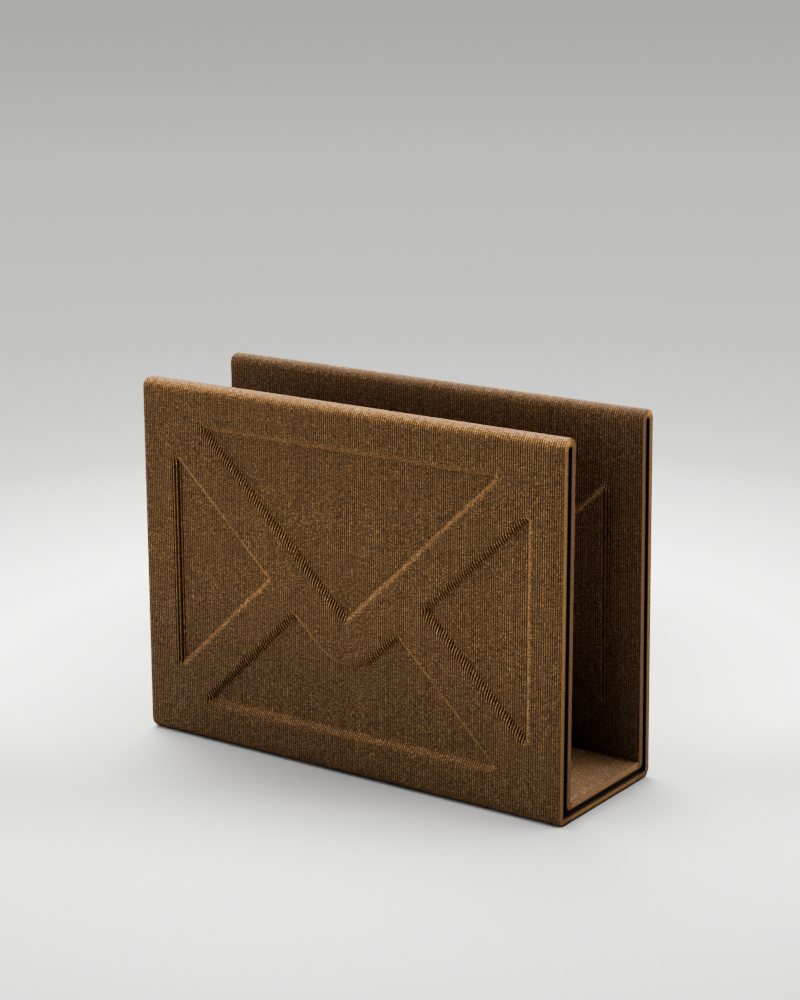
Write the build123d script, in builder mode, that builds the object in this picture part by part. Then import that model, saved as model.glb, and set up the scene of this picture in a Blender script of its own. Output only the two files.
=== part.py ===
from build123d import *
import os
from math import sin, cos, atan2, degrees, radians, tan

os.makedirs("parts", exist_ok=True)

# ---------------------------------------------------------------- driving sizes (mm)
LENGTH = 204.0          # along X
DEPTH = 68.6            # outside, at the foot, along Y
HEIGHT = 151.8          # top of the folds, along Z
SKIN = 3.4              # one skin of a wall
GAP = 1.6               # hollow between the two skins of a wall
WALL = 2 * SKIN + GAP   # both skins with the hollow between them
LEAN = 0.0109           # each wall leans in by this angle, radians
OUTER_R = 4.0           # outside corner along the foot
LINER_R = 2.6           # hollow side of the inner skin's corner
UPSTAND = 9.0           # base and floor run this far up each wall
CAP = 9.0               # depth of a fold below its top
CLOSED_T = 3.4          # closing plate at the left end
CLOSED_R = 2.8          # rounding of the closed end's edges
SLOT_END = 3.8          # top of a fold to the top of the hollow in it

# envelope relief, measured on a wall: X along the wall, V up the wall
RELIEF_C = 1.2          # middle of the pattern along X
RELIEF_D = 2.4          # how far the wall is pressed in
RELIEF_W = 3.0          # width of the slope around each pressed field
SIDE_X = 84.5           # upright edges of the side fields
SIDE_HI, SIDE_LO = 118.4, 32.6
SIDE_TIP = (39.5, 75.7)
TOP_X, TOP_V, TOP_TIP = 69.6, 133.2, 65.8
FOOT_X, FOOT_V = 69.4, 18.7
NOTCH = (25.3, 61.6)
FLAP_V, FLAP_R = 38.2, 21.0

C, S = cos(LEAN), sin(LEAN)
X0 = -LENGTH / 2 + CLOSED_T          # skins start here
X1 = LENGTH / 2                      # open end
RUN = X1 - X0
# height up the leaning wall of the middle of the fold's round
V_MID = (HEIGHT - WALL / 2 + WALL / 2 * S) / C
V_TOP = V_MID + WALL / 2
V_CAP = V_TOP - CAP


def spot(side, n, v):
    """Y, Z of a place n inward from the outside face and v up the wall; side -1 front, 1 rear."""
    y = -DEPTH / 2 + n * C + v * S
    z = -n * S + v * C
    return (y if side < 0 else -y, z)


def rise(n, z):
    """v at which the line n inward from the outside face crosses height z."""
    return (z + n * S) / C


def face_plane(side, n):
    """Plane on a wall, n inward from its outside face: local X along the wall, local Y up it."""
    if side < 0:
        y, z = spot(-1, n, 0)
        return Plane(origin=(0, y, z), x_dir=(1, 0, 0), z_dir=(0, -C, S))
    y, z = spot(1, n, 0)
    return Plane(origin=(0, y, z), x_dir=(-1, 0, 0), z_dir=(0, C, S))


def end_plane(x):
    """Upright plane across the object: local X is Y, local Y is Z."""
    return Plane(origin=(x, 0, 0), x_dir=(0, 1, 0), z_dir=(1, 0, 0))


def fields(flip, grow=0.0):
    """Corner lists of the pressed fields on a wall, in local X, V. flip is -1 on the rear wall."""
    c = RELIEF_C
    top = [(c - TOP_X, TOP_V), (c + TOP_X, TOP_V), (c, TOP_TIP)]
    left = [(c - SIDE_X, SIDE_HI), (c - SIDE_TIP[0], SIDE_TIP[1]), (c - SIDE_X, SIDE_LO)]
    right = [(c + SIDE_X, SIDE_LO), (c + SIDE_TIP[0], SIDE_TIP[1]), (c + SIDE_X, SIDE_HI)]
    return [[(flip * x, v) for x, v in f] for f in (top, left, right)]


def skin(side, n):
    """A flat wall skin with the pressed fields: hollows on its outside face, lands on its inside face."""
    flip = 1 if side < 0 else -1
    with BuildPart() as p:
        with BuildSketch(face_plane(side, n)):
            with Locations((flip * (X0 + X1) / 2, (UPSTAND + V_CAP) / 2)):
                Rectangle(RUN, V_CAP - UPSTAND)
        extrude(amount=-SKIN)
        for depth, how in ((n, Mode.SUBTRACT), (n + SKIN, Mode.ADD)):
            for corners in fields(flip):
                with BuildSketch(face_plane(side, depth)) as wide:
                    with BuildLine():
                        Polyline(*corners, close=True)
                    make_face()
                    offset(amount=RELIEF_W, kind=Kind.INTERSECTION, mode=Mode.REPLACE)
                extrude(amount=-RELIEF_D, taper=degrees(atan2(RELIEF_W, RELIEF_D)), mode=how)
            with BuildSketch(face_plane(side, depth)) as low:
                with BuildLine():
                    a = flip * RELIEF_C
                    Polyline(
                        (a - FOOT_X, FOOT_V), (a + FOOT_X, FOOT_V), (a + NOTCH[0], NOTCH[1]),
                        (a, FLAP_V), (a - NOTCH[0], NOTCH[1]), close=True,
                    )
                make_face()
                tip = min(low.vertices(), key=lambda q: abs(q.X - a) + abs(q.Y - FLAP_V))
                fillet(tip, FLAP_R)
                offset(amount=RELIEF_W, kind=Kind.INTERSECTION, mode=Mode.REPLACE)
            extrude(amount=-RELIEF_D, taper=degrees(atan2(RELIEF_W, RELIEF_D)), mode=how)
    return p


# ---------------------------------------------------------------- the four wall skins
with BuildPart() as front_outer_skin:
    add(skin(-1, 0).part)
with BuildPart() as front_inner_skin:
    add(skin(-1, SKIN + GAP).part)
with BuildPart() as rear_outer_skin:
    add(skin(1, 0).part)
with BuildPart() as rear_inner_skin:
    add(skin(1, SKIN + GAP).part)


def section(n_out, z_out, n_in, z_in, r_out, r_in):
    """Corner lists of a U strip: outside line, inside line, each up both walls to the upstand."""
    outer = [spot(-1, n_out, UPSTAND), spot(-1, n_out, rise(n_out, z_out)),
             spot(1, n_out, rise(n_out, z_out)), spot(1, n_out, UPSTAND)]
    inner = [spot(1, n_in, UPSTAND), spot(1, n_in, rise(n_in, z_in)),
             spot(-1, n_in, rise(n_in, z_in)), spot(-1, n_in, UPSTAND)]
    return outer, inner


# ---------------------------------------------------------------- base skin: underside and its rounded corners
with BuildPart() as base_skin:
    o, i = section(0, 0, SKIN, SKIN, OUTER_R, 0)
    with BuildSketch(end_plane(X0)):
        with BuildLine():
            Polyline(*o, *i, close=True)
        make_face()
    extrude(amount=RUN)
    corners = base_skin.edges().filter_by(Axis.X).filter_by(lambda e: e.center().Z < 0.5)
    fillet(corners, OUTER_R)

# ---------------------------------------------------------------- floor skin: the cavity's floor
with BuildPart() as floor_skin:
    o, i = section(SKIN + GAP, SKIN + GAP, WALL, WALL, LINER_R, 0)
    with BuildSketch(end_plane(X0)):
        with BuildLine():
            Polyline(*o, *i, close=True)
        make_face()
    extrude(amount=RUN)
    corners = floor_skin.edges().filter_by(Axis.X).filter_by(lambda e: abs(e.center().Z - SKIN - GAP) < 0.5)
    fillet(corners, LINER_R)


def cap_plane(side, x):
    """Upright plane across a wall: local X inward from the outside face, local Y up the wall."""
    if side < 0:
        return Plane(origin=(x, -DEPTH / 2, 0), x_dir=(0, C, -S), z_dir=(1, 0, 0))
    return Plane(origin=(x, DEPTH / 2, 0), x_dir=(0, -C, -S), z_dir=(-1, 0, 0))


def fold(side):
    """The rounded fold that joins a wall's two skins along its top, with the hollow running up into it."""
    with BuildPart() as p:
        with BuildSketch(cap_plane(side, X0 if side < 0 else X1)):
            with Locations((WALL / 2, (V_CAP + V_MID) / 2)):
                Rectangle(WALL, V_MID - V_CAP)
            with Locations((WALL / 2, V_MID)):
                Circle(WALL / 2)
            top = V_TOP - SLOT_END - GAP / 2
            with Locations((WALL / 2, (V_CAP + top) / 2)):
                Rectangle(GAP, top - V_CAP, mode=Mode.SUBTRACT)
            with Locations((WALL / 2, top)):
                Circle(GAP / 2, mode=Mode.SUBTRACT)
        extrude(amount=RUN)
    return p


# ---------------------------------------------------------------- the two folds
with BuildPart() as front_fold:
    add(fold(-1).part)
with BuildPart() as rear_fold:
    add(fold(1).part)

# ---------------------------------------------------------------- closed end: U-shaped plate with rounded edges
with BuildPart() as closed_end:
    for side in (-1, 1):
        with BuildSketch(end_plane(-LENGTH / 2)):
            with BuildLine():
                Polyline(
                    spot(side, 0, rise(0, 0)), spot(side, 0, V_MID), spot(side, WALL, V_MID),
                    spot(side, WALL, rise(WALL, WALL)), (0, WALL), (0, 0), close=True,
                )
            make_face()
            with Locations(spot(side, WALL / 2, V_MID)):
                Circle(WALL / 2)
        extrude(amount=CLOSED_T)
    corners = closed_end.edges().filter_by(Axis.X).filter_by(
        lambda e: e.center().Z < 0.5 and abs(e.center().Y) > DEPTH / 2 - 1)
    fillet(corners, OUTER_R)
    rim = closed_end.faces().sort_by(Axis.X)[0].edges()
    fillet(rim, CLOSED_R)

# ---------------------------------------------------------------- names and files
for name, made in (
    ("front_outer_skin", front_outer_skin),
    ("front_inner_skin", front_inner_skin),
    ("rear_outer_skin", rear_outer_skin),
    ("rear_inner_skin", rear_inner_skin),
    ("base_skin", base_skin),
    ("floor_skin", floor_skin),
    ("front_fold", front_fold),
    ("rear_fold", rear_fold),
    ("closed_end", closed_end),
):
    made.part.label = name
    export_step(made.part, "parts/" + name + ".step")
    b = made.part.bounding_box()
    print(name, len(made.part.solids()), round(made.part.volume),
          [round(q, 2) for q in (*b.min, *b.max)])
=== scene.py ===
import math

import bmesh
import bpy
import numpy as np
from mathutils import Matrix


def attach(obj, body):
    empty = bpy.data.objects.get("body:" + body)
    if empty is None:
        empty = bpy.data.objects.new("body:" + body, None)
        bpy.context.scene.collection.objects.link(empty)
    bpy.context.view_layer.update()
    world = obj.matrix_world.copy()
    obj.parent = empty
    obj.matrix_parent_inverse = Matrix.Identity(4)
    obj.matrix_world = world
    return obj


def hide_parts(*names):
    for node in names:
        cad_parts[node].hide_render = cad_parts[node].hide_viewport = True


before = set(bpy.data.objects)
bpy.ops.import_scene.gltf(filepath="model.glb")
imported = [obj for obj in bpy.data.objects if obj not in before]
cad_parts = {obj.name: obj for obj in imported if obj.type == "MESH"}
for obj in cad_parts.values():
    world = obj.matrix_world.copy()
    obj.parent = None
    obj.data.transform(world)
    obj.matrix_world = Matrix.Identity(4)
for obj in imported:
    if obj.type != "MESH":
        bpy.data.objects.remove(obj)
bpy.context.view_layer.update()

# ------------------------------------------------------------------ sizes (mm), the same frame as the CAD
LENGTH, DEPTH, HEIGHT = 204.0, 68.6, 151.8
SKIN, GAP, WALL = 3.4, 1.6, 8.4
LEAN = 0.0109
OUTER_R, LINER_R = 4.0, 2.6
UPSTAND, CAP, SLOT_END = 9.0, 9.0, 3.8
END_R = 2.8                      # rounding of the closed end
RELIEF_C, RELIEF_D, RELIEF_W = 1.2, 2.4, 3.1
LAYER = 1.0                      # one turn of the printed bead
LAYERS = 204
BODY0 = 3                        # the closed end takes the first three turns

C, S = math.cos(LEAN), math.sin(LEAN)
V_MID = (HEIGHT - WALL / 2 + WALL / 2 * S) / C
V_TOP = V_MID + WALL / 2
V_CAP = V_TOP - CAP

rng = np.random.default_rng(20417)


def yz(n, v):
    """Place on the front wall's section: n inward from the outside face, v up the wall."""
    return -DEPTH / 2 + n * C + v * S, -n * S + v * C


def turn(dn, dv):
    """A direction given in n, v as y, z."""
    return dn * C + dv * S, -dn * S + dv * C


# ------------------------------------------------------------------ the pressed envelope
def flap_arc(r=21.0, steps=14):
    """The foot field's upper edge: two notches joined round the flap's tip."""
    tip = np.array([RELIEF_C, 38.2])
    a = np.array([RELIEF_C + 25.3, 61.6])
    b = np.array([RELIEF_C - 25.3, 61.6])
    u, w = (a - tip) / np.linalg.norm(a - tip), (b - tip) / np.linalg.norm(b - tip)
    half = math.acos(float(u @ w)) / 2
    mid = tip + np.array([0.0, 1.0]) * r / math.sin(half)
    lo, hi = -math.pi / 2 + (math.pi / 2 - half), -math.pi / 2 - (math.pi / 2 - half)
    arc = [mid + r * np.array([math.cos(t), math.sin(t)]) for t in np.linspace(lo, hi, steps)]
    return [tuple(a), *map(tuple, arc), tuple(b)]


FIELDS = [
    [(RELIEF_C - 69.6, 133.2), (RELIEF_C + 69.6, 133.2), (RELIEF_C, 65.8)],
    [(RELIEF_C - 84.5, 118.4), (RELIEF_C - 39.5, 75.7), (RELIEF_C - 84.5, 32.6)],
    [(RELIEF_C + 84.5, 32.6), (RELIEF_C + 39.5, 75.7), (RELIEF_C + 84.5, 118.4)],
    [(RELIEF_C - 69.4, 18.7), (RELIEF_C + 69.4, 18.7), *flap_arc()],
]


def relief(x, v):
    """How far the wall is pressed in at x, v. Flat fields, a crisp foot and a lip that rounds over."""
    x, v = np.broadcast_arrays(x, v)
    away = np.full(x.shape, 1e9)
    for corners in FIELDS:
        inside = np.zeros(x.shape, bool)
        for (ax, av), (bx, bv) in zip(corners, corners[1:] + corners[:1]):
            dx, dv = bx - ax, bv - av
            t = np.clip(((x - ax) * dx + (v - av) * dv) / (dx * dx + dv * dv), 0, 1)
            away = np.minimum(away, np.hypot(x - ax - t * dx, v - av - t * dv))
            if av != bv:
                cut = (av > v) != (bv > v)
                inside ^= cut & (x < ax + (v - av) / dv * dx)
        away = np.where(inside, 0.0, away)
    q = np.clip((RELIEF_W - away) / RELIEF_W, 0, 1)
    return RELIEF_D * q ** 2


# ------------------------------------------------------------------ the section: rows round one half of the U
def spread(a, b, step):
    """Values from a to b, about step apart, without the first."""
    count = max(1, round(abs(b - a) / step))
    return [a + (b - a) * i / count for i in range(1, count + 1)]


def half_section(fine, medium):
    """Rows from the underside's middle, up the outside, over the fold, down the cavity to the floor's middle.
    A row is y, z, outward y, outward z, v, relief sign."""
    rows, marks = [], {}
    up_out, in_n = turn(-1, 0), turn(1, 0)
    yc = -DEPTH / 2 + (OUTER_R + OUTER_R * S) / C
    rows.append((0.0, 0.0, 0.0, -1.0, 0.0, 0))
    for y in spread(0.0, yc, 3.0):
        rows.append((y, 0.0, 0.0, -1.0, 0.0, 0))
    for t in spread(1.5 * math.pi, math.pi - LEAN, 0.9 / OUTER_R):
        ny, nz = math.cos(t), math.sin(t)
        rows.append((yc + OUTER_R * ny, OUTER_R + OUTER_R * nz, ny, nz, 0.0, 0))
    v0 = rows[-1][1] / C
    for v in spread(v0, UPSTAND, 1.0):
        rows.append((*yz(0, v), *up_out, v, 0))
    marks["base"] = len(rows) - 1
    for v in spread(UPSTAND, V_CAP, fine):
        rows.append((*yz(0, v), *up_out, v, -1))
    marks["outer"] = len(rows) - 1
    for v in spread(V_CAP, V_MID, 0.9):
        rows.append((*yz(0, v), *up_out, v, 0))
    for t in spread(0.0, math.pi, math.pi / 22):
        n, v = WALL / 2 - WALL / 2 * math.cos(t), V_MID + WALL / 2 * math.sin(t)
        rows.append((*yz(n, v), *turn(-math.cos(t), math.sin(t)), v, 0))
        if abs(t - math.pi / 2) < 1e-6:
            marks["top"] = len(rows) - 1
    for v in spread(V_MID, V_CAP, 0.9):
        rows.append((*yz(WALL, v), *in_n, v, 0))
    marks["fold"] = len(rows) - 1
    for v in spread(V_CAP, UPSTAND, medium):
        rows.append((*yz(WALL, v), *in_n, v, 1))
    marks["inner"] = len(rows) - 1
    y, z = yz(WALL, (WALL + WALL * S) / C)
    rows.append((y, WALL, in_n[0], in_n[1] + 1.0, 0.0, 0))
    marks["corner"] = len(rows) - 1
    for q in spread(y, 0.0, 1.4):
        rows.append((q, WALL, 0.0, 1.0, 0.0, 0))
    marks["floor"] = len(rows) - 1
    return np.array(rows), marks


step = ((0.92, 1.15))
front, fm = half_section(step[0], step[1])
rear, rm = half_section(step[1], step[1])
rear = rear * np.array([-1, 1, -1, 1, 1, 1])
NF, NR = len(front), len(rear)
ring = np.vstack([front, rear[-2:0:-1]])          # closed loop of rows, both middles shared
ROWS = len(ring)


def rear_at(mark):
    """Loop index of a rear mark."""
    return NF - 1 + (NR - 1 - rm[mark])


# ------------------------------------------------------------------ the columns: three to each turn of the bead
cols = []                                          # x, left turn, right turn, inward rounding, valley depth, jitter


def end_round(s):
    return END_R - math.sqrt(max(END_R ** 2 - (END_R - min(s, END_R)) ** 2, 0.0))


for s in (0.0, 0.1, 0.3, 0.62):
    cols.append((-LENGTH / 2 + s, 0, 0, end_round(s), 0.0, 0.0))
for k in range(1, LAYERS):
    x = -LENGTH / 2 + k * LAYER
    s = k * LAYER
    cols.append((x, k - 1, k, end_round(s), 0.30, 1.0))
    if k == BODY0:
        SPLIT = len(cols) - 1
    if k < LAYERS - 1:
        cols.append((x + 0.25, k, k, end_round(s + 0.25), 0.0, 0.5))
        cols.append((x + 0.75, k, k, end_round(s + 0.75), 0.0, 0.5))
for s, off in ((0.24, 0.0), (0.55, 0.0), (0.80, 0.07), (0.94, 0.2), (1.0, 0.42)):
    cols.append((LENGTH / 2 - 1 + s, LAYERS - 1, LAYERS - 1, off, 0.0, 0.0))
cols = np.array(cols)
COLS = len(cols)
col_l, col_r = cols[:, 1].astype(int), cols[:, 2].astype(int)

# relief of each turn at each row
centre = -LENGTH / 2 + (np.arange(LAYERS) + 0.5) * LAYER
press = relief(centre[None, :], ring[:, 4][:, None]) * (ring[:, 5] != 0)[:, None]
lift = press * np.sign(ring[:, 5])[:, None]        # outward: in on the outside, out in the cavity


def smooth_rows(a, times=1):
    for _ in range(times):
        a = (np.roll(a, 1, 0) + 2 * a + np.roll(a, -1, 0)) / 4
    return a


# the bead's unevenness: grain along each turn, slow swelling, and a little from turn to turn
grain = rng.random((ROWS, LAYERS))
swell = smooth_rows(rng.standard_normal((ROWS, LAYERS)), 6)
swell = np.clip(swell / swell.std(), -2, 2)
each = rng.random(LAYERS)
uneven = 0.01 + 0.065 * grain ** 1.6 + 0.016 * (swell + 2) / 2 + 0.028 * each[None, :] ** 2

height = np.minimum(lift[:, col_l], lift[:, col_r]) - cols[:, 3][None, :]
bead = np.where((cols[:, 4] > 0)[None, :],
                cols[:, 4][None, :] * (0.85 + 0.4 * rng.random((ROWS, COLS))) + 0.5 * (uneven[:, col_l] + uneven[:, col_r]) * 0.5,
                uneven[:, col_l] + 0.03 * rng.random((ROWS, COLS)))
height = height - bead
wander = cols[:, 5][None, :] * 0.07 * (rng.random((ROWS, COLS)) * 2 - 1)

GX = np.broadcast_to(cols[:, 0][None, :], (ROWS, COLS)) + wander
GY = ring[:, 0][:, None] + ring[:, 2][:, None] * height
GZ = ring[:, 1][:, None] + ring[:, 3][:, None] * height
GZ = np.maximum(GZ, 0.0)
GRID = np.stack([GX, GY, GZ], -1)

# painted highlight: the slopes of the pressed fields are made paler, standing in for the light on the relief's edges
share = np.minimum(press[:, col_l], press[:, col_r]) / RELIEF_D
SLOPE_HIGHLIGHT = np.clip((1 - share) * 5, 0, 1) * np.clip(share * 6, 0, 1)

# ------------------------------------------------------------------ hollow side: coarser rows and columns
hollow_cols = [(-LENGTH / 2 + BODY0 * LAYER, BODY0, 0.0)]
hollow_cols += [(-LENGTH / 2 + k + 0.5, k, 0.0) for k in range(BODY0, LAYERS - 1)]
hollow_cols += [(LENGTH / 2 - 1 + s, LAYERS - 1, off) for s, off in ((0.4, 0.0), (0.8, 0.06), (0.94, 0.16), (1.0, 0.34))]
hollow_cols = np.array(hollow_cols)
hollow_k = hollow_cols[:, 1].astype(int)


def hollow(rows, flip):
    """Grid of a hollow side from rows of y, z, outward y, outward z, v, relief sign (1 moves with the wall)."""
    rows = np.array(rows)
    p = relief(centre[None, :], rows[:, 4][:, None]) * (rows[:, 5] != 0)[:, None]
    inward = np.array(turn(1, 0))
    h = p[:, hollow_k]
    off = hollow_cols[:, 2][None, :]
    y = rows[:, 0][:, None] + inward[0] * h - rows[:, 2][:, None] * off
    z = rows[:, 1][:, None] + inward[1] * h - rows[:, 3][:, None] * off
    x = np.broadcast_to(hollow_cols[:, 0][None, :], y.shape)
    return np.stack([x, y * flip, z], -1)


HSTEP = 3.0
outer_h = [(*yz(SKIN, v), *turn(1, 0), v, 1) for v in [UPSTAND] + spread(UPSTAND, V_CAP, HSTEP)]
inner_h = [(*yz(SKIN + GAP, v), *turn(-1, 0), v, 1) for v in [UPSTAND] + spread(UPSTAND, V_CAP, HSTEP)]
slot_v = V_TOP - SLOT_END - GAP / 2
fold_h = [(*yz(SKIN, v), *turn(1, 0), v, 0) for v in [V_CAP] + spread(V_CAP, slot_v, 1.5)]
for t in spread(0.0, math.pi, math.pi / 6):
    n, v = WALL / 2 - GAP / 2 * math.cos(t), slot_v + GAP / 2 * math.sin(t)
    fold_h.append((*yz(n, v), *turn(math.cos(t), -math.sin(t)), v, 0))
fold_h += [(*yz(SKIN + GAP, v), *turn(-1, 0), v, 0) for v in spread(slot_v, V_CAP, 1.5)]


def base_hollow():
    """Hollow side of the base, rear upstand to front upstand: sharp corners."""
    v = (SKIN + SKIN * S) / C
    y, z = yz(SKIN, v)
    half = [(*yz(SKIN, u), *turn(1, 0), u, 0) for u in [UPSTAND] + spread(UPSTAND, v, 2.0)[:-1]]
    half.append((y, SKIN, turn(1, 0)[0], 1.0, 0, 0))
    half += [(q, SKIN, 0.0, 1.0, 0, 0) for q in spread(y, 0.0, 4.0)]
    half = np.array(half)
    other = half[::-1][1:] * np.array([-1, 1, -1, 1, 1, 1])
    return np.vstack([half, other])[::-1]


def floor_hollow():
    """Hollow side of the floor, front upstand to rear upstand: rounded corners."""
    n0 = SKIN + GAP
    zc = n0 + LINER_R
    yc = -DEPTH / 2 + (n0 + LINER_R + zc * S) / C
    half = [(*yz(n0, u), *turn(-1, 0), u, 0) for u in [UPSTAND] + spread(UPSTAND, (zc + n0 * S) / C, 1.0)]
    for t in spread(math.pi - LEAN, 1.5 * math.pi, math.pi / 10):
        half.append((yc + LINER_R * math.cos(t), zc + LINER_R * math.sin(t), math.cos(t), math.sin(t), 0, 0))
    half += [(q, n0, 0.0, -1.0, 0, 0) for q in spread(yc, 0.0, 4.0)]
    half = np.array(half)
    other = half[::-1][1:] * np.array([-1, 1, -1, 1, 1, 1])
    return np.vstack([half, other])


# ------------------------------------------------------------------ meshes
def zip_lines(a, ta, b, tb):
    """Triangles between two lines of vertex numbers, walking both by their parameters."""
    out, i, j = [], 0, 0
    while i < len(a) - 1 or j < len(b) - 1:
        if j == len(b) - 1 or (i < len(a) - 1 and ta[i + 1] <= tb[j + 1]):
            out.append((a[i], a[i + 1], b[j]))
            i += 1
        else:
            out.append((a[i], b[j + 1], b[j]))
            j += 1
    return [t for t in out if len(set(t)) == 3]


def grid_quads(ids):
    a, b, c, d = ids[:-1, :-1], ids[1:, :-1], ids[1:, 1:], ids[:-1, 1:]
    return np.stack([a, b, c, d], -1).reshape(-1, 4)


def run_length(points):
    return np.concatenate([[0], np.cumsum(np.linalg.norm(np.diff(points, axis=0), axis=1))])


def pieced(points, breaks):
    """Parameter that reaches 1, 2, ... at the given places of a line, by length in between."""
    s, out = run_length(points), np.zeros(len(points))
    marks = [0, *breaks, len(points) - 1]
    for q, (a, b) in enumerate(zip(marks, marks[1:])):
        seg = s[a:b + 1]
        out[a:b + 1] = q + (seg - seg[0]) / max(seg[-1] - seg[0], 1e-9)
    return out


def add_mesh(name, verts, quads, tris, material, slope_highlight_gap_shade=()):
    me = bpy.data.meshes.new(name)
    quads, tris = np.asarray(quads, np.int64).reshape(-1, 4), np.asarray(tris, np.int64).reshape(-1, 3)
    me.vertices.add(len(verts))
    me.vertices.foreach_set("co", (np.asarray(verts) * 0.001).astype(np.float32).ravel())
    me.loops.add(quads.size + tris.size)
    me.loops.foreach_set("vertex_index", np.concatenate([quads.ravel(), tris.ravel()]).astype(np.int32))
    me.polygons.add(len(quads) + len(tris))
    starts = np.concatenate([np.arange(len(quads)) * 4, quads.size + np.arange(len(tris)) * 3])
    me.polygons.foreach_set("loop_start", starts.astype(np.int32))
    me.update(calc_edges=True)
    bm = bmesh.new()
    bm.from_mesh(me)
    bmesh.ops.recalc_face_normals(bm, faces=bm.faces)
    loose = sum(1 for e in bm.edges if len(e.link_faces) != 2)
    if loose:
        print("open edges in", name, loose)
    bm.to_mesh(me)
    bm.free()
    me.polygons.foreach_set("use_smooth", np.ones(len(me.polygons), bool))
    me.set_sharp_from_angle(angle=math.radians(58))
    me.materials.append(material)
    # per-vertex marks: the painted slope highlight on the outside, -1 for the painted shade on hollow sides
    tint = np.zeros(len(me.vertices), np.float32)
    tint[:len(slope_highlight_gap_shade)] = slope_highlight_gap_shade
    me.attributes.new("slope_highlight_gap_shade", "FLOAT", "POINT").data.foreach_set("value", tint)
    ob = bpy.data.objects.new(name, me)
    bpy.context.scene.collection.objects.link(ob)
    print(name, len(me.vertices), sum(len(p.vertices) - 2 for p in me.polygons))
    return ob


def shell_piece(node, rows, ext_breaks, hollow_grid, hol_breaks, material, notch=None):
    """A piece from a slice of the outside grid and its hollow side, closed along its borders and both ends."""
    E = GRID[rows][:, SPLIT:]
    H = hollow_grid
    nr, nc = E.shape[:2]
    hr, hc = H.shape[:2]
    eid = np.arange(nr * nc).reshape(nr, nc)
    hid = nr * nc + np.arange(hr * hc).reshape(hr, hc)
    verts = [E.reshape(-1, 3), H.reshape(-1, 3)]
    te = pieced(E[:, -1], ext_breaks)
    th = pieced(H[:, -1], hol_breaks)
    # end face: lines between the outside's and the hollow side's last columns
    base = nr * nc + hr * hc
    line_ids = [eid[:, -1]]
    for f in (0.18, 0.42, 0.68):
        target = np.stack([np.interp(te, th, H[:, -1, q]) for q in range(3)], -1)
        p = E[:, -1] * (1 - f) + target * f
        p[:, 0] = LENGTH / 2 - 0.07 * rng.random(nr) ** 1.3 - 0.02
        if notch is not None:
            p[:, 0] -= notch(p[:, 1], p[:, 2])
        verts.append(p)
        line_ids.append(base + np.arange(nr))
        base += nr
    face = np.stack(line_ids, 1)
    quads = [grid_quads(eid), grid_quads(hid), grid_quads(face)]
    tris = zip_lines(line_ids[-1], te, hid[:, -1], th)
    for r, h in ((0, 0), (-1, -1)):
        edge = [q[r] for q in line_ids] + [hid[h, -1]]
        tris += [(edge[0], edge[q], edge[q + 1]) for q in range(1, len(edge) - 1)]
    tris += zip_lines(eid[:, 0], te, hid[:, 0], th)
    tris += zip_lines(eid[0], E[0, :, 0], hid[0], H[0, :, 0])
    tris += zip_lines(eid[-1], E[-1, :, 0], hid[-1], H[-1, :, 0])
    # the outside carries the painted slope highlight, the hollow side -1 for its painted shade
    ob = add_mesh(node + "_print", np.vstack(verts), np.vstack(quads), tris, material, np.concatenate([SLOPE_HIGHLIGHT[rows][:, SPLIT:].ravel(), np.full(hr * hc, -1.0)]))
    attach(ob, "root")
    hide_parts(node)
    return ob


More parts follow.
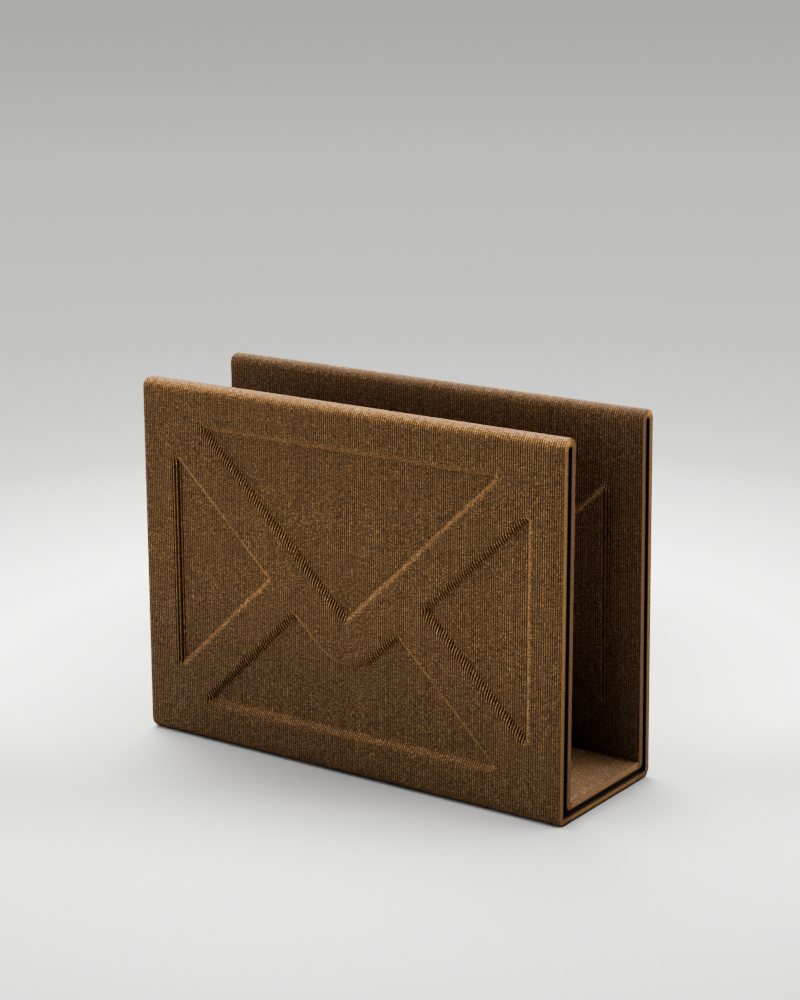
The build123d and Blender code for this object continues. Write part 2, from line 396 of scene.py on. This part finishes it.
# ------------------------------------------------------------------ the print's material
def print_material():
    mat = bpy.data.materials.new("print_brown")
    mat.use_nodes = True
    nt = mat.node_tree
    nt.nodes.clear()
    N, L = nt.nodes.new, nt.links.new
    out = N("ShaderNodeOutputMaterial")
    bsdf = N("ShaderNodeBsdfPrincipled")
    L(bsdf.outputs[0], out.inputs[0])
    tc = N("ShaderNodeTexCoord")
    mm = N("ShaderNodeMapping"); mm.inputs["Scale"].default_value = (1000, 1000, 1000)
    L(tc.outputs["Object"], mm.inputs["Vector"])

    def noise(scale, detail=2.0, rough=0.5, stretch=None, offset=(0, 0, 0)):
        n = N("ShaderNodeTexNoise")
        n.inputs["Scale"].default_value = scale
        n.inputs["Detail"].default_value = detail
        n.inputs["Roughness"].default_value = rough
        m = N("ShaderNodeMapping")
        m.inputs["Scale"].default_value = stretch or (1, 1, 1)
        m.inputs["Location"].default_value = offset
        L(mm.outputs[0], m.inputs["Vector"])
        L(m.outputs[0], n.inputs["Vector"])
        return n.outputs["Fac"]

    def ramp(fac, stops, mode="LINEAR"):
        r = N("ShaderNodeValToRGB")
        r.color_ramp.interpolation = mode
        while len(r.color_ramp.elements) < len(stops):
            r.color_ramp.elements.new(0.5)
        for e, (pos, col) in zip(r.color_ramp.elements, stops):
            e.position = pos
            e.color = (*col, 1) if len(col) == 3 else col
        L(fac, r.inputs[0])
        return r.outputs[0]

    def math_(op, a, b=None, c=None):
        n = N("ShaderNodeMath"); n.operation = op
        for i, q in enumerate((a, b, c)):
            if q is None:
                continue
            if isinstance(q, (int, float)):
                n.inputs[i].default_value = q
            else:
                L(q, n.inputs[i])
        return n.outputs[0]

    def mix(kind, fac, a, b):
        n = N("ShaderNodeMix"); n.data_type = "RGBA"; n.blend_type = kind
        if isinstance(fac, (int, float)):
            n.inputs[0].default_value = fac
        else:
            L(fac, n.inputs[0])
        for i, q in ((6, a), (7, b)):
            if isinstance(q, tuple):
                n.inputs[i].default_value = (*q, 1)
            else:
                L(q, n.inputs[i])
        return n.outputs[2]

    sep = N("ShaderNodeSeparateXYZ")
    L(mm.outputs[0], sep.inputs[0])
    turn_no = math_("FLOOR", sep.outputs[0])
    apart = N("ShaderNodeCombineXYZ")                 # a different stretch of noise for every turn of the bead
    L(math_("MULTIPLY", turn_no, 17.31), apart.inputs[0])
    L(sep.outputs[1], apart.inputs[1])
    L(sep.outputs[2], apart.inputs[2])

    def along(scale, detail, rough):
        n = N("ShaderNodeTexNoise")
        n.inputs["Scale"].default_value = scale
        n.inputs["Detail"].default_value = detail
        n.inputs["Roughness"].default_value = rough
        L(apart.outputs[0], n.inputs["Vector"])
        return n.outputs["Fac"]

    # ground colour: grains of the wood filler, a little drawn out along the bead
    base = ramp(along(2.3, 1.5, 0.60), [(0.33, (0.070, 0.0375, 0.0170)), (0.45, (0.104, 0.0575, 0.0256)),
                                        (0.53, (0.132, 0.0755, 0.0340)), (0.60, (0.172, 0.1025, 0.0485)),
                                        (0.70, (0.245, 0.1520, 0.0755))])
    # pale flecks and dark pores
    fleck = ramp(noise(2.7, 1.0, 0.5, (1, 0.8, 0.8), (31, 7, 3)), [(0.60, (0, 0, 0)), (0.70, (1, 1, 1))])
    base = mix("MIX", math_("MULTIPLY", fleck, 0.24), base, (0.420, 0.285, 0.155))
    pore = ramp(noise(2.5, 1.0, 0.5, (1, 0.8, 0.8), (5, 19, 11)), [(0.29, (1, 1, 1)), (0.40, (0, 0, 0))])
    base = mix("MULTIPLY", math_("MULTIPLY", pore, 0.42), base, (0.30, 0.25, 0.22))
    # slow mottling and a slight change from turn to turn
    slow = ramp(noise(0.035, 3.0, 0.55), [(0.3, (0.98, 0.98, 0.98)), (0.7, (1.02, 1.02, 1.02))])
    base = mix("MULTIPLY", 1.0, base, slow)
    base = mix("MULTIPLY", 1.0, base, (1.05, 1.05, 1.04))
    wn = N("ShaderNodeTexWhiteNoise"); wn.noise_dimensions = "1D"
    L(turn_no, wn.inputs["W"])
    tone = ramp(wn.outputs["Value"], [(0.0, (0.91, 0.905, 0.90)), (1.0, (1.08, 1.08, 1.08))])
    base = mix("MULTIPLY", 1.0, base, tone)
    # painted highlight on the outside of each fold where the bead bends over; painted shade on the faces round the
    # slot
    aside = math_("ABSOLUTE", sep.outputs[1])
    fold_highlight = ramp(math_("MULTIPLY", math_("SUBTRACT", sep.outputs[2], 147.0), 1 / 5.0),
                [(0.0, (0, 0, 0)), (0.28, (0.16,) * 3), (0.68, (1, 1, 1)), (0.86, (1, 1, 1)), (0.98, (0.10,) * 3)])
    outside = ramp(math_("MULTIPLY", math_("SUBTRACT", aside, 26.0), 1 / 5.0), [(0.30, (0, 0, 0)), (0.62, (1, 1, 1))])
    base = mix("MULTIPLY", math_("MULTIPLY", fold_highlight, outside), base, (2.15, 2.05, 1.80))
    # painted shade: the faces round the slot are made a little darker and cooler
    slot_shade = math_("MULTIPLY", ramp(math_("MULTIPLY", aside, 1 / 32.0), [(0.84, (1, 1, 1)), (0.88, (0, 0, 0))]),
                 ramp(math_("MULTIPLY", sep.outputs[2], 1 / 160.0), [(0.070, (0, 0, 0)), (0.085, (1, 1, 1)),
                                                                     (0.900, (1, 1, 1)), (0.940, (0, 0, 0))]))
    base = mix("MULTIPLY", slot_shade, base, (0.88, 0.87, 1.02))
    # painted light: the cavity floor is made lighter and bluer
    flat = math_("MULTIPLY", math_("LESS_THAN", aside, 25.0), math_("LESS_THAN", sep.outputs[2], 12.0))
    base = mix("MULTIPLY", math_("MULTIPLY", flat, math_("GREATER_THAN", sep.outputs[2], 6.0)), base, (1.20, 1.26, 1.46))
    # painted highlight: the relief's slopes are made paler
    slope_highlight_gap_shade_attr = N("ShaderNodeAttribute")
    slope_highlight_gap_shade_attr.attribute_name = "slope_highlight_gap_shade"
    base = mix("MULTIPLY", math_("MAXIMUM", slope_highlight_gap_shade_attr.outputs["Fac"], 0.0), base, (1.38, 1.37, 1.34))
    # painted shade: the hollow sides inside the double wall are made nearly black
    shaded = ramp(math_("MULTIPLY", slope_highlight_gap_shade_attr.outputs["Fac"], -1.0), [(0.15, (0, 0, 0)), (1.0, (1, 1, 1))])
    base = mix("MULTIPLY", shaded, base, (0.16, 0.14, 0.12))
    # painted shade in the creases between turns, painted highlight on each turn's crown
    u = math_("ABSOLUTE", math_("SUBTRACT", math_("FRACT", sep.outputs[0]), 0.5))
    crease_shade_crest_highlight = ramp(u, [(0.0, (1.25, 1.25, 1.25)), (0.26, (1.05, 1.05, 1.05)), (0.46, (0.22, 0.20, 0.18))])
    end = math_("GREATER_THAN", sep.outputs[0], 101.6)
    rim = math_("GREATER_THAN", math_("ABSOLUTE", sep.outputs[0]), 101.5)
    base = mix("MULTIPLY", math_("SUBTRACT", 1.0, rim), base, crease_shade_crest_highlight)
    outer = math_("MAXIMUM", math_("GREATER_THAN", math_("ADD", aside, math_("MULTIPLY", sep.outputs[2], 0.0109)), 30.0),
                  math_("LESS_THAN", sep.outputs[2], 4.2))
    base = mix("MULTIPLY", end, base, mix("MIX", outer, (0.60, 0.58, 0.52), (0.74, 0.71, 0.62)))
    # painted shade: a little darker towards the foot
    foot_shade = ramp(math_("MULTIPLY", sep.outputs[2], 0.01), [(0.0, (0.72,) * 3), (0.32, (0.80,) * 3), (0.75, (1, 1, 1))])
    base = mix("MULTIPLY", math_("SUBTRACT", 1.0, flat), base, foot_shade)
    # painted contact shadow where the underside's edge meets the desk
    contact_shadow = ramp(math_("MULTIPLY", sep.outputs[2], 0.25), [(0.16, (0.10,) * 3), (0.46, (1, 1, 1))])
    base = mix("MULTIPLY", 1.0, base, contact_shadow)
    L(base, bsdf.inputs["Base Color"])
    # surface: dry, slightly waxy in patches
    L(ramp(noise(1.9, 2.0, 0.5, None, (3, 3, 9)), [(0.3, (0.50,) * 3), (0.7, (0.78,) * 3)]), bsdf.inputs["Roughness"])
    fine = noise(2.4, 3.0, 0.65, (1.2, 0.85, 0.85), (2, 8, 5))
    bump = N("ShaderNodeBump")
    bump.inputs["Strength"].default_value = 0.8
    bump.inputs["Distance"].default_value = 0.00022
    L(fine, bump.inputs["Height"])
    L(bump.outputs[0], bsdf.inputs["Normal"])
    L(math_("SUBTRACT", 0.24, math_("MULTIPLY", end, 0.19)), bsdf.inputs["Specular IOR Level"])
    return mat


brown = print_material()

# ------------------------------------------------------------------ the pieces
b0, b1 = fm["base"], rear_at("base")
notch_y = -10.0


def tail(y, z):
    """Where the last turn of the bead ends on the base: a small step down."""
    near = (z < 6) * np.clip(1 - np.abs(y - notch_y) / 1.6, 0, 1)
    return 0.55 * near


idx = np.arange

rows = idx(fm["base"], fm["outer"] + 1)
shell_piece("front_outer_skin", rows, [], hollow(outer_h, 1), [], brown)
rows = idx(fm["outer"], fm["fold"] + 1)
shell_piece("front_fold", rows, [], hollow(fold_h, 1), [], brown)
rows = idx(fm["fold"], fm["inner"] + 1)
shell_piece("front_inner_skin", rows, [], hollow(inner_h[::-1], 1), [], brown)

rows = idx(fm["inner"], rear_at("inner") + 1)
fh = floor_hollow()
flat = [i for i, r in enumerate(fh) if abs(r[3] + 1) < 1e-9]
shell_piece("floor_skin", rows, [1, len(rows) - 2], hollow(fh, 1), [flat[0] - 2, flat[-1] + 2], brown)

rows = idx(rear_at("inner"), rear_at("fold") + 1)
shell_piece("rear_inner_skin", rows, [], hollow(inner_h, -1), [], brown)
rows = idx(rear_at("fold"), rear_at("outer") + 1)
shell_piece("rear_fold", rows, [], hollow(fold_h[::-1], -1), [], brown)
rows = idx(rear_at("outer"), rear_at("base") + 1)
shell_piece("rear_outer_skin", rows, [], hollow(outer_h[::-1], -1), [], brown)

rows = np.concatenate([idx(rear_at("base"), ROWS), idx(0, fm["base"] + 1)])
bh = base_hollow()
corner = [i for i, r in enumerate(bh) if abs(r[3] - 1.0) < 1e-9 and abs(r[2]) > 0.5]
low = GRID[rows, -1]
near = lambda side: min((i for i in range(len(rows)) if low[i, 1] * side > 0),
                        key=lambda i: abs(abs(low[i, 1]) - (DEPTH / 2 - 1.2)) + abs(low[i, 2] - 1.2))
shell_piece("base_skin", rows, sorted([near(1), near(-1)]), hollow(bh, 1), corner, brown, tail)


# closed end: the whole U over the first turns, with its flat printed-first face
def closed_end():
    E = GRID[:, :SPLIT + 1]
    nr, nc = E.shape[:2]
    ids = idx(nr * nc).reshape(nr, nc)
    wrap = np.vstack([ids, ids[:1]])
    top_f, top_r = fm["top"], rear_at("top")
    outside = np.concatenate([idx(top_f, -1, -1), idx(nr - 1, top_r - 1, -1)])
    inside = idx(top_f, top_r + 1)

    def par(rows_, corner_a, corner_b):
        pts = E[rows_, -1]
        return pieced(pts, [corner_a, corner_b])

    pts = E[outside, -1]
    ca = min((i for i in range(len(outside)) if pts[i, 1] < 0), key=lambda i: abs(pts[i, 1] + DEPTH / 2 - 1.2) + abs(pts[i, 2] - 1.2))
    cb = min((i for i in range(len(outside)) if pts[i, 1] > 0), key=lambda i: abs(pts[i, 1] - DEPTH / 2 + 1.2) + abs(pts[i, 2] - 1.2))
    ta = pieced(pts, [ca, cb])
    ja, jb = fm["corner"] - top_f, rear_at("corner") - top_f
    tb = pieced(E[inside, -1], [ja, jb])
    tris = []
    for c in (0, nc - 1):
        tris += zip_lines(ids[outside, c], ta, ids[inside, c], tb)
    ob = add_mesh("closed_end_print", E.reshape(-1, 3), grid_quads(wrap), tris, brown)
    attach(ob, "root")
    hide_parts("closed_end")


closed_end()

# ------------------------------------------------------------------ floor
def floor_material():
    mat = bpy.data.materials.new("pale_floor")
    mat.use_nodes = True
    nt = mat.node_tree
    bsdf = nt.nodes["Principled BSDF"]
    N, L = nt.nodes.new, nt.links.new
    tc = N("ShaderNodeTexCoord")
    # painted pool of light on the floor round the holder: painted shade close to it, brightest in a ring, falling off
    # far away
    off = N("ShaderNodeVectorMath"); off.operation = "SUBTRACT"
    L(tc.outputs["Object"], off.inputs[0])
    off.inputs[1].default_value = (-0.069, 0.098, 0.0)
    ln = N("ShaderNodeVectorMath"); ln.operation = "LENGTH"
    L(off.outputs[0], ln.inputs[0])
    light_pool = N("ShaderNodeValToRGB")
    scale = N("ShaderNodeMath"); scale.operation = "MULTIPLY"; scale.inputs[1].default_value = 1 / 8.0
    L(ln.outputs["Value"], scale.inputs[0])
    L(scale.outputs[0], light_pool.inputs[0])
    tones = [(0, 0.64), (100, 0.62), (185, 0.8986), (290, 0.6299), (415, 0.3783), (563, 0.3042), (741, 0.2669), (961, 0.2428),
             (1237, 0.2345), (1600, 0.2282), (2094, 0.2087), (2807, 0.1831), (3930, 0.1684), (5775, 0.1602), (8000, 0.1502)]
    stops = [(r / 1000, g) for r, g in tones]
    while len(light_pool.color_ramp.elements) < len(stops):
        light_pool.color_ramp.elements.new(0.5)
    for e, (r, g) in zip(light_pool.color_ramp.elements, stops):
        e.position = r / 8.0
        e.color = (g * 0.78, g * 0.78, g * 0.77, 1)
    light_pool.color_ramp.interpolation = "LINEAR"
    n = N("ShaderNodeTexNoise"); n.inputs["Scale"].default_value = 260; n.inputs["Detail"].default_value = 3
    L(tc.outputs["Object"], n.inputs["Vector"])
    r = N("ShaderNodeValToRGB")
    r.color_ramp.elements[0].position, r.color_ramp.elements[0].color = 0.3, (0.965, 0.965, 0.965, 1)
    r.color_ramp.elements[1].position, r.color_ramp.elements[1].color = 0.7, (1, 1, 1, 1)
    L(n.outputs["Fac"], r.inputs[0])
    m = N("ShaderNodeMix"); m.data_type = "RGBA"; m.blend_type = "MULTIPLY"; m.inputs[0].default_value = 1.0
    L(light_pool.outputs[0], m.inputs[6]); L(r.outputs[0], m.inputs[7])
    # a painted shadow band across the desk where the holder stands
    shift = N("ShaderNodeVectorMath"); shift.operation = "SUBTRACT"
    L(tc.outputs["Object"], shift.inputs[0])
    shift.inputs[1].default_value = (0.018, -0.028, 0.0)
    squares = []
    for axis, reach in (((0.815, 0.579, 0.0), 0.33), ((-0.579, 0.815, 0.0), 0.055)):
        d = N("ShaderNodeVectorMath"); d.operation = "DOT_PRODUCT"
        L(shift.outputs[0], d.inputs[0])
        d.inputs[1].default_value = tuple(q / reach for q in axis)
        p = N("ShaderNodeMath"); p.operation = "MULTIPLY"
        L(d.outputs["Value"], p.inputs[0]); L(d.outputs["Value"], p.inputs[1])
        squares.append(p.outputs[0])
    both = N("ShaderNodeMath"); both.operation = "ADD"
    L(squares[0], both.inputs[0]); L(squares[1], both.inputs[1])
    fade = N("ShaderNodeMath"); fade.operation = "POWER"
    fade.inputs[0].default_value = math.exp(-1)
    L(both.outputs[0], fade.inputs[1])
    band_shadow = N("ShaderNodeMath"); band_shadow.operation = "MULTIPLY"; band_shadow.inputs[1].default_value = 0.38
    L(fade.outputs[0], band_shadow.inputs[0])
    m2 = N("ShaderNodeMix"); m2.data_type = "RGBA"; m2.blend_type = "MIX"
    L(band_shadow.outputs[0], m2.inputs[0]); L(m.outputs[2], m2.inputs[6]); m2.inputs[7].default_value = (0.0, 0.0, 0.0, 1)
    L(m2.outputs[2], bsdf.inputs["Base Color"])
    bsdf.inputs["Roughness"].default_value = 0.9
    bsdf.inputs["Specular IOR Level"].default_value = 0.0
    return mat


bm = bmesh.new()
bmesh.ops.create_circle(bm, cap_ends=True, cap_tris=True, segments=96, radius=9.0)
me = bpy.data.meshes.new("floor")
bm.to_mesh(me)
bm.free()
ground = bpy.data.objects.new("floor", me)
ground.data.materials.append(floor_material())
bpy.context.scene.collection.objects.link(ground)

# ------------------------------------------------------------------ camera
F, YAW, PITCH, ROLL = 2468.53, 0.6175832, 0.2609062, -0.0090751
cy, sy, cp, sp = math.cos(YAW), math.sin(YAW), math.cos(PITCH), math.sin(PITCH)
fwd = np.array([-sy * cp, cy * cp, -sp])
right = np.array([cy, sy, 0.0])
up = np.cross(right, fwd)
r2 = math.cos(ROLL) * right + math.sin(ROLL) * up
u2 = -math.sin(ROLL) * right + math.cos(ROLL) * up
cam = bpy.data.cameras.new("camera")
cam.sensor_width, cam.sensor_fit = 36.0, "AUTO"
cam.lens = F * 36.0 / 1000.0
cam.clip_start, cam.clip_end = 0.05, 60.0
eye = bpy.data.objects.new("camera", cam)
m = Matrix.Identity(4)
for i in range(3):
    m[i][0], m[i][1], m[i][2] = float(r2[i]), float(u2[i]), float(-fwd[i])
m[0][3], m[1][3], m[2][3] = 0.5587388, -0.7794816, 0.3630355
eye.matrix_world = m
bpy.context.scene.collection.objects.link(eye)
bpy.context.scene.camera = eye


# ------------------------------------------------------------------ light
# soft panels of light round the object: azimuth (0 front, 90 right), height, strength
PANELS = [(0, 6, 4.84), (120, 6, 16.65), (150, 6, 12.77), (330, 6, 1.62), (225, 55, 14.15), (270, 55, 3.57),
          (315, 55, 3.36), (180, 80, 0.63)]
SPREAD = math.radians(34)
world = bpy.data.worlds.new("studio")
world.use_nodes = True
wt = world.node_tree
bg = wt.nodes["Background"]
bg.inputs[0].default_value = (1.0, 1.0, 1.0, 1)
sky = wt.nodes.new("ShaderNodeTexCoord")


def wmath(op, a_, b_, clamp=False):
    n = wt.nodes.new("ShaderNodeMath")
    n.operation, n.use_clamp = op, clamp
    for i, q in enumerate((a_, b_)):
        if isinstance(q, (int, float)):
            n.inputs[i].default_value = q
        else:
            wt.links.new(q, n.inputs[i])
    return n.outputs[0]


total = None
for az, el, power in PANELS:
    a_, e_ = math.radians(az), math.radians(el)
    d = wt.nodes.new("ShaderNodeVectorMath")
    d.operation = "DOT_PRODUCT"
    wt.links.new(sky.outputs["Generated"], d.inputs[0])
    d.inputs[1].default_value = (math.sin(a_) * math.cos(e_), -math.cos(a_) * math.cos(e_), math.sin(e_))
    edge = math.cos(SPREAD)
    near = wmath("MULTIPLY", wmath("SUBTRACT", d.outputs["Value"], edge), 1 / (1 - edge), clamp=True)
    part = wmath("MULTIPLY", wmath("POWER", near, 1.5), power)
    total = part if total is None else wmath("ADD", total, part)
wt.links.new(total, bg.inputs[1])
bpy.context.scene.world = world

bpy.context.scene.view_settings.view_transform = "AgX"
bpy.context.scene.view_settings.look = "AgX - High Contrast"
